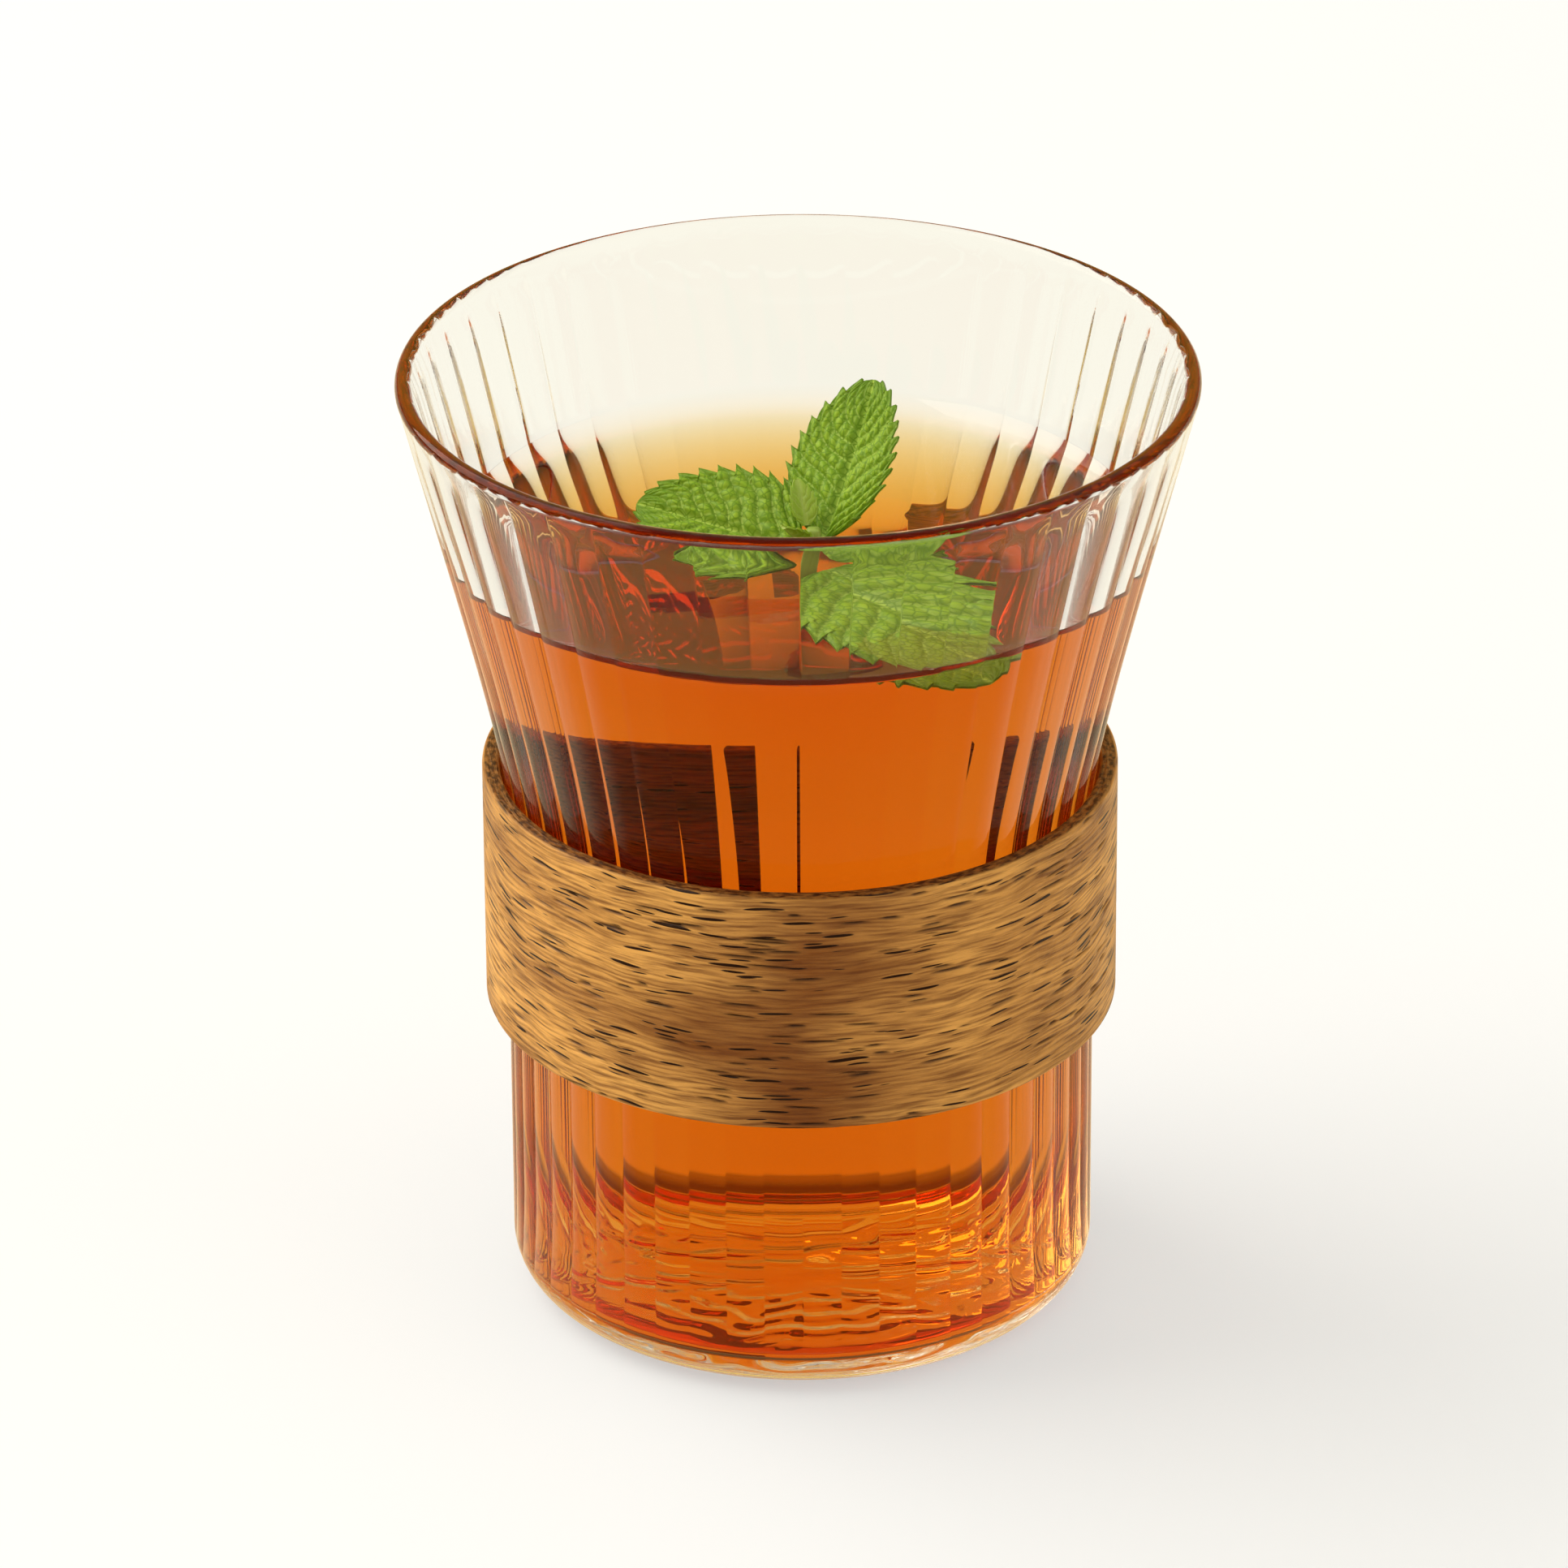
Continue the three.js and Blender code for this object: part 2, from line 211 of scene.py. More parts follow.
def point_values(piece, name, values):
    """Keeps one number for each vertex under a name that the piece's material reads."""
    layer = piece.data.attributes.new(name, "FLOAT", "POINT")
    layer.data.foreach_set("value", np.ascontiguousarray(values, np.float32).ravel())


# How much of a mirror each place is: the outside most, the lip and the dry inside less, and the wet
# inside hardly.
OUTSIDE_MIRROR = 0.9
LIP_MIRROR = 0.15
DRY_MIRROR = 0.3
WET_MIRROR = 0.03
is_inside = np.arange(len(profile)) >= len(outside) + len(lip)
is_lip = profile[:, 1] > CUP_HEIGHT - LIP_WALL
inside_mirror = np.where(profile[:, 1] < TEA_EDGE, WET_MIRROR, DRY_MIRROR)
mirror = np.where(is_lip, LIP_MIRROR, np.where(is_inside, inside_mirror, OUTSIDE_MIRROR))
mirror = np.append(np.repeat(mirror, len(across_reed)), [OUTSIDE_MIRROR, WET_MIRROR])
point_values(glass, "mirror", mirror)


def linear(colour):
    """An sRGB hex colour as linear red, green, blue and alpha."""
    parts = np.array([int(colour[i : i + 2], 16) for i in (1, 3, 5)]) / 255
    parts = np.where(parts <= 0.04045, parts / 12.92, ((parts + 0.055) / 1.055) ** 2.4)
    return (*parts, 1.0)


def new_material(name):
    """An empty material and its node tree."""
    material = bpy.data.materials.new(name)
    material.use_nodes = True
    material.node_tree.nodes.clear()
    return material, material.node_tree


def add(tree, kind, inputs=None, **settings):
    """Adds a node with its settings, and gives its inputs their values or the outputs that feed them."""
    made = tree.nodes.new(kind)
    for name, value in settings.items():
        setattr(made, name, value)
    for name, value in (inputs or {}).items():
        if isinstance(value, bpy.types.NodeSocket):
            tree.links.new(value, made.inputs[name])
        else:
            made.inputs[name].default_value = value
    return made


# Clear soda-lime glass, blown and fire-polished: colourless through the wall, with sharp reflections outside
# and weaker ones inside. Where tea wets it nearly nothing is reflected, because both bend light alike.
clear_glass, tree = new_material("clear_soda_lime_glass")
mirroring = add(tree, "ShaderNodeAttribute", attribute_name="mirror")
shader = add(tree, "ShaderNodeBsdfPrincipled", {
    "Base Color": linear("#FEFDFA"),
    "Roughness": 0.0,
    "IOR": 1.473,
    "Specular Tint": mirroring.outputs["Fac"],
    "Transmission Weight": 1.0,
})
add(tree, "ShaderNodeOutputMaterial", {"Surface": shader.outputs["BSDF"]})
glass.data.materials.append(clear_glass)
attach(glass, "glass")
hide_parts("glass_cup")


# The tea
# Clear amber black tea that wets the glass, so its surface climbs the wall in a curved edge.
# Its sides lie a hair inside the wall, so that no film of air shows between the drink and the glass.
WETTED = 0.15 * MM
EDGE_RISE = 1.7 * MM
EDGE_WIDTH = 1.3 * MM
TEA_LEVEL = TEA_EDGE - EDGE_RISE
TEA_TOP_MIRROR = 0.7
TEA_STEPS = 384

shares = np.linspace(0, 1, 400)
wet_line = flare_line(WALL - WETTED, shares)
tea_share = np.interp(TEA_EDGE - 0.08 * MM, wet_line[:, 1], shares)
tea_heel = INNER_HEEL_RADIUS + WETTED
tea_side = side_line(WALL - WETTED, FLOOR - WETTED, tea_heel, tea_share * np.linspace(0, 1, 24), 6, 10)
tea_floor = straight_line((2 * MM, FLOOR - WETTED), (floor_radius, FLOOR - WETTED), 5)[:-1]
edge_radius = tea_side[-1, 0] - 1.15 * WETTED
from_wall = np.concatenate([
    [0],
    np.geomspace(0.03, 12, 30) * MM,
    np.linspace(14 * MM, edge_radius - 2 * MM, 8),
])
surface = np.stack([edge_radius - from_wall, TEA_LEVEL + EDGE_RISE * np.exp(-from_wall / EDGE_WIDTH)], 1)
tea_profile = np.concatenate([tea_floor, tea_side, surface])
tea = turned_piece(
    "black_tea",
    np.repeat(tea_profile[:, :1], TEA_STEPS, 1),
    np.repeat(tea_profile[:, 1:], TEA_STEPS, 1),
    2 * np.pi * np.arange(TEA_STEPS) / TEA_STEPS,
)
tea.data.set_sharp_from_angle(angle=math.radians(30))
is_wall = np.arange(len(tea_profile)) < len(tea_floor) + len(tea_side)
mirror = np.where(is_wall, WET_MIRROR, TEA_TOP_MIRROR)
mirror = np.append(np.repeat(mirror, TEA_STEPS), [WET_MIRROR, TEA_TOP_MIRROR])
point_values(tea, "mirror", mirror)

# Brewed black tea: water with dissolved colour, pale at its thin edge and deep orange through the glass.
# The absorption is what turns white to that orange across the width of the glass.
black_tea, tree = new_material("brewed_black_tea")
mirroring = add(tree, "ShaderNodeAttribute", attribute_name="mirror")
shader = add(tree, "ShaderNodeBsdfPrincipled", {
    "Base Color": (1.0, 1.0, 1.0, 1.0),
    "Roughness": 0.0,
    "IOR": 1.33,
    "Specular Tint": mirroring.outputs["Fac"],
    "Transmission Weight": 1.0,
})
amber = add(tree, "ShaderNodeVolumeAbsorption", {"Color": (0.943, 0.676, 0.03, 1.0), "Density": 100.0})
add(tree, "ShaderNodeOutputMaterial", {"Surface": shader.outputs["BSDF"], "Volume": amber.outputs["Volume"]})
tea.data.materials.append(black_tea)
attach(tea, "glass")
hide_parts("tea")


# The sleeve
# A strip of open-pored hardwood, steamed and bent to an open ring that grips the glass under its flare.
# The grain runs round it, its edges are eased and it is oiled.
sleeve_low, sleeve_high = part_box("wood_sleeve")
SLEEVE_BOTTOM = sleeve_low.z
SLEEVE_TOP = sleeve_high.z
SLEEVE_GAP = 0.6 * MM
SLEEVE_INNER = BASE_RADIUS + SLEEVE_GAP
SLEEVE_THICKNESS = 1.9 * MM
SLEEVE_OPENING = 14.5 * MM
SLEEVE_TURN = math.radians(-8.3)
EASED_EDGE = 0.4 * MM
SLEEVE_COLUMNS = 380
SLEEVE_ROWS = 215
PORE_COUNT = 360
PORE_DEPTH = 0.22 * MM

half_opening = SLEEVE_OPENING / 2 / SLEEVE_INNER
first_angle = np.pi / 2 + half_opening
last_angle = 5 * np.pi / 2 - half_opening
round_angle = np.linspace(first_angle, last_angle, SLEEVE_COLUMNS) + SLEEVE_TURN
sleeve_outer = SLEEVE_INNER + SLEEVE_THICKNESS
low = SLEEVE_BOTTOM + EASED_EDGE
high = SLEEVE_TOP - EASED_EDGE
section = np.concatenate([
    arc_line((sleeve_outer - EASED_EDGE, low), EASED_EDGE, -90, 0, 6)[:-1],
    straight_line((sleeve_outer, low), (sleeve_outer, high), SLEEVE_ROWS),
    arc_line((sleeve_outer - EASED_EDGE, high), EASED_EDGE, 0, 90, 6)[1:],
    arc_line((SLEEVE_INNER + EASED_EDGE, high), EASED_EDGE, 90, 180, 5),
    straight_line((SLEEVE_INNER, high), (SLEEVE_INNER, low), 12)[1:-1],
    arc_line((SLEEVE_INNER + EASED_EDGE, low), EASED_EDGE, 180, 270, 5),
])

# Pores are short grooves along the grain, in a scatter that is the same each run.
grain = np.random.default_rng(5)
strip_along = (round_angle - round_angle[0]) * sleeve_outer
pore_along = grain.uniform(0, strip_along[-1], PORE_COUNT)
pore_height = grain.uniform(SLEEVE_BOTTOM, SLEEVE_TOP, PORE_COUNT)
pore_length = grain.uniform(0.7, 2.6, PORE_COUNT) * MM
pore_width = grain.uniform(0.08, 0.17, PORE_COUNT) * MM
pore_slant = grain.normal(0, 0.035, PORE_COUNT)
pore = np.zeros((len(section), SLEEVE_COLUMNS))
for along, height, length, width, slant in zip(pore_along, pore_height, pore_length, pore_width, pore_slant):
    beside = (section[:, 1:] - height - slant * (strip_along - along)) / width
    ahead = (strip_along - along) / length
    pore = np.maximum(pore, np.exp(-(beside**2)) * np.clip(1.2 - ahead**2, 0, 1))
is_outer_face = smooth_step(section[:, :1], sleeve_outer - EASED_EDGE, sleeve_outer - EASED_EDGE / 4)
pore = pore * is_outer_face
sleeve_radius = section[:, :1] - PORE_DEPTH * pore
sleeve_points = np.stack([
    sleeve_radius * np.cos(round_angle),
    sleeve_radius * np.sin(round_angle),
    np.repeat(section[:, 1:], SLEEVE_COLUMNS, 1),
], -1)
index = np.arange(pore.size).reshape(pore.shape)
wrapped = np.concatenate([index, index[:1]])
sleeve = mesh_piece(
    "bent_wood_sleeve",
    sleeve_points.reshape(-1, 3),
    grid_faces(wrapped)[:, ::-1],
    index[:, 0][None, :],
    index[:, -1][None, ::-1],
)
sleeve.data.set_sharp_from_angle(angle=math.radians(55))


def corner_map(piece, name, along, up):
    """A UV map whose values at each corner come from its vertex."""
    corners = np.empty(len(piece.data.loops), np.int32)
    piece.data.loops.foreach_get("vertex_index", corners)
    layer = piece.data.uv_layers.new(name=name)
    values = np.stack([along.ravel()[corners], up.ravel()[corners]], 1)
    layer.data.foreach_set("uv", values.astype(np.float32).ravel())


point_values(sleeve, "pore", pore)
edge_share = 1 - smooth_step(section[:, 0], sleeve_outer - EASED_EDGE, sleeve_outer - EASED_EDGE / 5)
edge_share = edge_share * (section[:, 0] > SLEEVE_INNER + EASED_EDGE / 2)
point_values(sleeve, "edge", np.repeat(edge_share[:, None], SLEEVE_COLUMNS, 1))
profile_run = np.concatenate([[0], np.cumsum(np.linalg.norm(np.diff(section, axis=0), axis=1))])
FRONT_OF_STRIP = (3 * np.pi / 2 - round_angle[0]) * sleeve_outer
corner_map(
    sleeve,
    "strip",
    np.repeat(strip_along[None], len(section), 0),
    np.repeat(profile_run[:, None], SLEEVE_COLUMNS, 1),
)

# Oiled walnut-like hardwood: golden brown early wood, darker streaks along the grain, near-black pores.
# One unit of the strip map is a metre, so each scale is one over a size along and across the grain.
GRAIN_BEND = (16 * MM, 8 * MM)
GRAIN_WANDER = 2.4 * MM
ZONE = (40 * MM, 8 * MM)
STREAK = (6 * MM, 0.4 * MM)
SLIT = (6.2 * MM, 0.5 * MM)
SPECK = (1.1 * MM, 0.5 * MM)
# How near the front the painted shade of the front is full, and how far from it that shade is gone.
FRONT_SHADE_NEAR = 1 * MM
FRONT_SHADE_FAR = 18 * MM


def scale_for(size):
    """The scale of a pattern that repeats in a size along and across the grain."""
    return (1 / size[0], 1 / size[1], 1)


bent_wood, tree = new_material("oiled_open_pored_hardwood")
strip = add(tree, "ShaderNodeUVMap", uv_map="strip")
bend_place = add(tree, "ShaderNodeMapping", {"Vector": strip.outputs["UV"], "Scale": scale_for(GRAIN_BEND)})
bend = add(tree, "ShaderNodeTexNoise", {"Vector": bend_place.outputs["Vector"], "Scale": 1.0, "Detail": 2.0})
grain_line = add(tree, "ShaderNodeVectorMath", {
    0: bend.outputs["Color"], 1: (0, GRAIN_WANDER, 0), 2: strip.outputs["UV"],
}, operation="MULTIPLY_ADD")
zone_place = add(tree, "ShaderNodeMapping", {
    "Vector": grain_line.outputs["Vector"], "Scale": scale_for(ZONE),
})
zones = add(tree, "ShaderNodeTexNoise", {"Vector": zone_place.outputs["Vector"], "Scale": 1.0, "Detail": 4.0})
# Painted shade: the wood is made darker across the front of the strip and a little paler away from it,
# standing in for shade on the front.
along_strip = add(tree, "ShaderNodeSeparateXYZ", {"Vector": strip.outputs["UV"]})
from_front = add(tree, "ShaderNodeMath", {
    0: along_strip.outputs["X"], 1: FRONT_OF_STRIP,
}, operation="SUBTRACT")
beside_front = add(tree, "ShaderNodeMath", {0: from_front.outputs["Value"]}, operation="ABSOLUTE")
painted_front_shade = add(tree, "ShaderNodeMapRange", {
    "Value": beside_front.outputs["Value"], "From Min": FRONT_SHADE_NEAR, "From Max": FRONT_SHADE_FAR,
    "To Min": 0.26, "To Max": -0.07,
})
zones_and_front_shade = add(tree, "ShaderNodeMath", {
    0: zones.outputs["Fac"], 1: painted_front_shade.outputs["Result"],
}, operation="ADD")
zones_and_shade_range = add(tree, "ShaderNodeMapRange", {
    "Value": zones_and_front_shade.outputs["Value"], "From Min": 0.36, "From Max": 0.74,
})
streak_place = add(tree, "ShaderNodeMapping", {
    "Vector": grain_line.outputs["Vector"], "Scale": scale_for(STREAK),
})
streaks = add(tree, "ShaderNodeTexNoise", {
    "Vector": streak_place.outputs["Vector"], "Scale": 1.0, "Detail": 5.0,
})
streak_range = add(tree, "ShaderNodeMapRange", {
    "Value": streaks.outputs["Fac"], "From Min": 0.4, "From Max": 0.66, "To Max": 0.75,
})
ground = add(tree, "ShaderNodeMix", {
    "Factor": zones_and_shade_range.outputs["Result"], "A": linear("#F0AE54"), "B": linear("#8C5014"),
}, data_type="RGBA")
streaked = add(tree, "ShaderNodeMix", {
    "Factor": streak_range.outputs["Result"], "A": ground.outputs["Result"], "B": linear("#663208"),
}, data_type="RGBA")
# Fine pores: long cells along the grain, each with a slit at its middle that is wide, narrow or closed.
slit_place = add(tree, "ShaderNodeMapping", {
    "Vector": grain_line.outputs["Vector"], "Scale": scale_for(SLIT),
})
slits = add(tree, "ShaderNodeTexVoronoi", {"Vector": slit_place.outputs["Vector"], "Scale": 1.0})
slit_size = add(tree, "ShaderNodeMapRange", {
    "Value": slits.outputs["Color"], "From Min": 0.25, "From Max": 0.85, "To Max": 0.38,
})
slit_depth = add(tree, "ShaderNodeMath", {
    0: slit_size.outputs["Result"], 1: slits.outputs["Distance"],
}, operation="SUBTRACT")
slit_range = add(tree, "ShaderNodeMapRange", {
    "Value": slit_depth.outputs["Value"], "From Min": 0.0, "From Max": 0.04,
})
dashed = add(tree, "ShaderNodeMix", {
    "Factor": slit_range.outputs["Result"], "A": streaked.outputs["Result"], "B": linear("#240D02"),
}, data_type="RGBA")
pores = add(tree, "ShaderNodeAttribute", attribute_name="pore")
coloured = add(tree, "ShaderNodeMix", {
    "Factor": pores.outputs["Fac"], "A": dashed.outputs["Result"], "B": linear("#2A1508"),
}, data_type="RGBA")
edges = add(tree, "ShaderNodeAttribute", attribute_name="edge")
speck_place = add(tree, "ShaderNodeMapping", {"Vector": strip.outputs["UV"], "Scale": scale_for(SPECK)})
specks = add(tree, "ShaderNodeTexNoise", {
    "Vector": speck_place.outputs["Vector"], "Scale": 1.0, "Detail": 3.0,
})
speck_range = add(tree, "ShaderNodeMapRange", {
    "Value": specks.outputs["Fac"], "From Min": 0.4, "From Max": 0.62,
})
edge_colour = add(tree, "ShaderNodeMix", {
    "Factor": speck_range.outputs["Result"], "A": linear("#3F220B"), "B": linear("#A06A30"),
}, data_type="RGBA")
edged = add(tree, "ShaderNodeMix", {
    "Factor": edges.outputs["Fac"], "A": coloured.outputs["Result"], "B": edge_colour.outputs["Result"],
}, data_type="RGBA")
relief = add(tree, "ShaderNodeMath", {
    0: specks.outputs["Fac"], 1: 0.4, 2: streaks.outputs["Fac"],
}, operation="MULTIPLY_ADD")
cut_relief = add(tree, "ShaderNodeMath", {
    0: relief.outputs["Value"], 1: slit_range.outputs["Result"],
}, operation="SUBTRACT")
fine_bump = add(tree, "ShaderNodeBump", {
    "Height": cut_relief.outputs["Value"], "Strength": 0.9, "Distance": 0.3 * MM,
})
shader = add(tree, "ShaderNodeBsdfPrincipled", {
    "Base Color": edged.outputs["Result"],
    "Roughness": 0.42,
    "Specular IOR Level": 0.25,
    "Normal": fine_bump.outputs["Normal"],
})
add(tree, "ShaderNodeOutputMaterial", {"Surface": shader.outputs["BSDF"]})
sleeve.data.materials.append(bent_wood)
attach(sleeve, "sleeve")
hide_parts("wood_sleeve")


# The mint stem
# The short cut stem of the sprig, square with rounded corners as mint stems are, pale green and matt.
# It carries the leaves in pairs, and its cut end dips into the tea.
stem_low, stem_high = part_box("mint_stem")
STEM_WIDTH = stem_high.x - stem_low.x
STEM_STEPS = 48
STEM_DIP = 1.6 * MM
sprig_x = (stem_low.x + stem_high.x) / 2
sprig_y = (stem_low.y + stem_high.y) / 2

stem_turn = 2 * np.pi * np.arange(STEM_STEPS) / STEM_STEPS
corner = (np.abs(np.cos(stem_turn)) ** 5 + np.abs(np.sin(stem_turn)) ** 5) ** -0.2
stem_share = np.concatenate([[0, 0.01, 0.03], np.linspace(0.08, 0.9, 10), [0.96, 0.99, 1]])[:, None]
stem_ends = 1 - 0.25 * np.clip(np.abs(stem_share - 0.5) * 2 - 0.9, 0, 1) / 0.1
stem_radius = STEM_WIDTH / 2 * corner * stem_ends * (1 - 0.12 * stem_share)
stem_end = stem_low.z - STEM_DIP
stem_height = np.repeat(stem_end + (stem_high.z - stem_end) * stem_share, STEM_STEPS, 1)
stem = turned_piece("mint_stem_piece", stem_radius, stem_height, stem_turn)
stem_points = np.empty(len(stem.data.vertices) * 3, np.float32)
stem.data.vertices.foreach_get("co", stem_points)
stem_points = stem_points.reshape(-1, 3) + [sprig_x, sprig_y, 0]
stem.data.vertices.foreach_set("co", stem_points.astype(np.float32).ravel())

# Fresh mint stem: pale yellow-green, matt, with fine lines along it.
mint_stem, tree = new_material("fresh_mint_stem")
place = add(tree, "ShaderNodeTexCoord")
lines = add(tree, "ShaderNodeMapping", {"Vector": place.outputs["Object"], "Scale": (4000, 4000, 300)})
fibres = add(tree, "ShaderNodeTexNoise", {"Vector": lines.outputs["Vector"], "Scale": 1.0, "Detail": 2.0})
stem_colour = add(tree, "ShaderNodeMix", {
    "Factor": fibres.outputs["Fac"], "A": linear("#9DB04A"), "B": linear("#7C962F"),
}, data_type="RGBA")
shader = add(tree, "ShaderNodeBsdfPrincipled", {
    "Base Color": stem_colour.outputs["Result"],
    "Roughness": 0.5,
})
add(tree, "ShaderNodeOutputMaterial", {"Surface": shader.outputs["BSDF"]})
stem.data.materials.append(mint_stem)
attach(stem, "sprig")
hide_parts("mint_stem")


# The upright leaf
# A fresh mint leaf that stands up towards the back: toothed edge, sunken veins, and cells that swell between.
# As in the solid, its base begins about a millimetre off the stem.
LEAF_BLADE = 0.3 * MM
LEAF_SEAT = 0.5 * MM
PETIOLE_WIDTH = 1.1 * MM
LEAF_TIP_WIDTH = 0.5 * MM
FIT_GAP = 0.3 * MM
leaf_reach = STEM_WIDTH * math.sqrt(0.5) + FIT_GAP + LEAF_SEAT


def leaf_surface(length, width, base, fold, curl, teeth, side_veins, swell, phase, rows, columns):
    """A leaf's upper skin before it is placed, along +X from its base, with two numbers for each point: how
    much of a vein it is and how far it swells between the veins. The half width is a power of a sine along
    the leaf. The teeth grow slowly and drop back, side veins run out and forwards in arcs, and cross veins
    cut the strips between them into cells."""
    along = np.linspace(0, 1, rows)[:, None]
    side = np.linspace(-1, 1, columns)[None, :]
    out = np.abs(side)
    tooth = (along * teeth + 0.06 * np.sign(side)) % 1
    blade = np.sin(np.pi * along**base) ** 0.6 * width
    toothed = 1 - 0.13 * (1 - tooth**1.4) * out**5
    half = np.maximum(blade * toothed, PETIOLE_WIDTH + (LEAF_TIP_WIDTH - PETIOLE_WIDTH) * along) / 2
    across = half * side
    lean = 0.35 * length / teeth * tooth * out**6 * (blade > width * 0.2)
    wander = 0.16 * np.sin(9 * along + 4 * side + phase) + 0.1 * np.sin(17 * along - 7 * side + 2 * phase)
    strip = (along - 0.24 * out - 0.05 * out**2) * side_veins + wander + 0.35 * (side > 0) + 2
    cell = out * 6.5 + 0.47 * np.floor(strip) + 0.2 * np.sin(3 * strip + phase)
    strip_edge = np.minimum(strip % 1, 1 - strip % 1)
    cell_edge = np.minimum(cell % 1, 1 - cell % 1)
    puff = np.sin(np.pi * (strip % 1)) ** 0.7 * (0.5 + 0.5 * np.sin(np.pi * (cell % 1)) ** 0.7)
    puff = puff * smooth_step(out, 0, 0.14) * (1 - 0.6 * smooth_step(out, 0.8, 1))
    room = np.clip(blade / width * 1.4, 0, 1)
    midrib = np.exp(-((across / (0.32 * MM)) ** 2))
    vein = np.exp(-((strip_edge / 0.07) ** 2)) * (1 - 0.5 * out)
    vein = np.maximum(vein, 0.45 * np.exp(-((cell_edge / 0.1) ** 2)))
    vein = np.maximum(vein * room, midrib)
    rise = np.abs(across) * math.tan(math.radians(fold)) - curl * along**2
    rise = rise + room * (swell * puff - 0.5 * swell * midrib) - 0.5 * swell
    points = np.stack([length * along + lean * np.ones_like(side), across, rise], -1)
    return points, vein * np.ones_like(across), puff * room


def closed_sheet(upper, thickness):
    """Points and faces of a thin closed sheet: a skin, the same skin lower down, and the edge between."""
    rows, columns = upper.shape[:2]
    lower = upper - [0, 0, thickness]
    top = np.arange(rows * columns).reshape(rows, columns)
    low = top + rows * columns
    rim = np.concatenate([top[:-1, 0], top[-1, :-1], top[:0:-1, -1], top[0, :0:-1]])
    under = rim + rows * columns
    rim = np.append(rim, rim[0])
    under = np.append(under, under[0])
    edge = np.stack([rim[:-1], rim[1:], under[1:], under[:-1]], 1)
    points = np.concatenate([upper.reshape(-1, 3), lower.reshape(-1, 3)])
    return points, [grid_faces(top)[:, ::-1], grid_faces(low), edge]


def mint_leaf(name, surface, height, heading, rise, roll, thickness):
    """A leaf piece set on the stem: rolled about its length, raised, turned to its heading, and moved out
    from the stem's axis at its height on the stem. The angles are in degrees."""
    skin, vein, swell = surface
    outward = math.radians(heading)
    turn = Euler([math.radians(roll), -math.radians(rise), outward]).to_matrix()
    points, faces = closed_sheet(skin, thickness)
    reach = [leaf_reach * math.cos(outward), leaf_reach * math.sin(outward), height]
    placed = points @ np.array(turn).T + np.array([sprig_x, sprig_y, stem_low.z]) + reach
    leaf = mesh_piece(name, placed, *faces)
    point_values(leaf, "vein", np.concatenate([vein.ravel(), vein.ravel()]))
    point_values(leaf, "swell", np.concatenate([swell.ravel(), swell.ravel()]))
    return leaf


surface = leaf_surface(
    length=18.2 * MM,
    width=15 * MM,
    base=0.8,
    fold=12,
    curl=-1.4 * MM,
    teeth=10,
    side_veins=10,
    swell=0.5 * MM,
    phase=0.4,
    rows=180,
    columns=121,
)
upright_leaf = mint_leaf(
    "upright_mint_leaf", surface, height=2.7 * MM, heading=62, rise=43, roll=-17, thickness=LEAF_BLADE
)

# Fresh mint leaf: yellow-green skin with a soft waxy sheen, paler along the veins. Its colour is painted
# darker in the dips between the swells, as shade, and paler on their tops, as a highlight.
leaf_green, tree = new_material("fresh_mint_leaf")
veins = add(tree, "ShaderNodeAttribute", attribute_name="vein")
swells = add(tree, "ShaderNodeAttribute", attribute_name="swell")
place = add(tree, "ShaderNodeTexCoord")
mottle = add(tree, "ShaderNodeTexNoise", {"Vector": place.outputs["Object"], "Scale": 260.0, "Detail": 4.0})
# Painted shade and highlight: dark green where the skin dips, pale yellow-green where it swells.
skin_shade_and_highlight = add(tree, "ShaderNodeMix", {
    "Factor": swells.outputs["Fac"], "A": linear("#3E6404"), "B": linear("#AECB30"),
}, data_type="RGBA")
mottled = add(tree, "ShaderNodeMix", {
    "Factor": mottle.outputs["Fac"], "A": skin_shade_and_highlight.outputs["Result"], "B": linear("#6E9614"),
}, data_type="RGBA")
veined = add(tree, "ShaderNodeMix", {
    "Factor": veins.outputs["Fac"], "A": mottled.outputs["Result"], "B": linear("#B4CE52"),
}, data_type="RGBA")
# A fine net of the smallest veins, about 0.7 mm to a mesh, is sunk into the skin and painted darker along its
# lines, as shade in the sunken lines.
net_wave = add(tree, "ShaderNodeVectorMath", {
    0: mottle.outputs["Color"], 1: (0.0008, 0.0008, 0.0008), 2: place.outputs["Object"],
}, operation="MULTIPLY_ADD")
net = add(tree, "ShaderNodeTexVoronoi", {
    "Vector": net_wave.outputs["Vector"], "Scale": 1400.0,
}, feature="DISTANCE_TO_EDGE")
net_range = add(tree, "ShaderNodeMapRange", {
    "Value": net.outputs["Distance"], "From Min": 0.0, "From Max": 0.14,
})
# Painted shade along the lines of the sunken net.
netted_with_painted_shade = add(tree, "ShaderNodeMix", {
    "Factor": net_range.outputs["Result"], "A": linear("#668C0C"), "B": veined.outputs["Result"],
}, data_type="RGBA")
net_bump = add(tree, "ShaderNodeBump", {
    "Height": net_range.outputs["Result"], "Strength": 0.15, "Distance": 0.1 * MM,
})
shader = add(tree, "ShaderNodeBsdfPrincipled", {
    "Base Color": netted_with_painted_shade.outputs["Result"],
    "Roughness": 0.45,
    "Specular IOR Level": 0.22,
    "Subsurface Weight": 0.15,
    "Subsurface Radius": (0.5, 0.8, 0.1),
    "Subsurface Scale": 0.0006,
    "Normal": net_bump.outputs["Normal"],
})
add(tree, "ShaderNodeOutputMaterial", {"Surface": shader.outputs["BSDF"]})
upright_leaf.data.materials.append(leaf_green)
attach(upright_leaf, "sprig")
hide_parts("mint_leaf_upright")


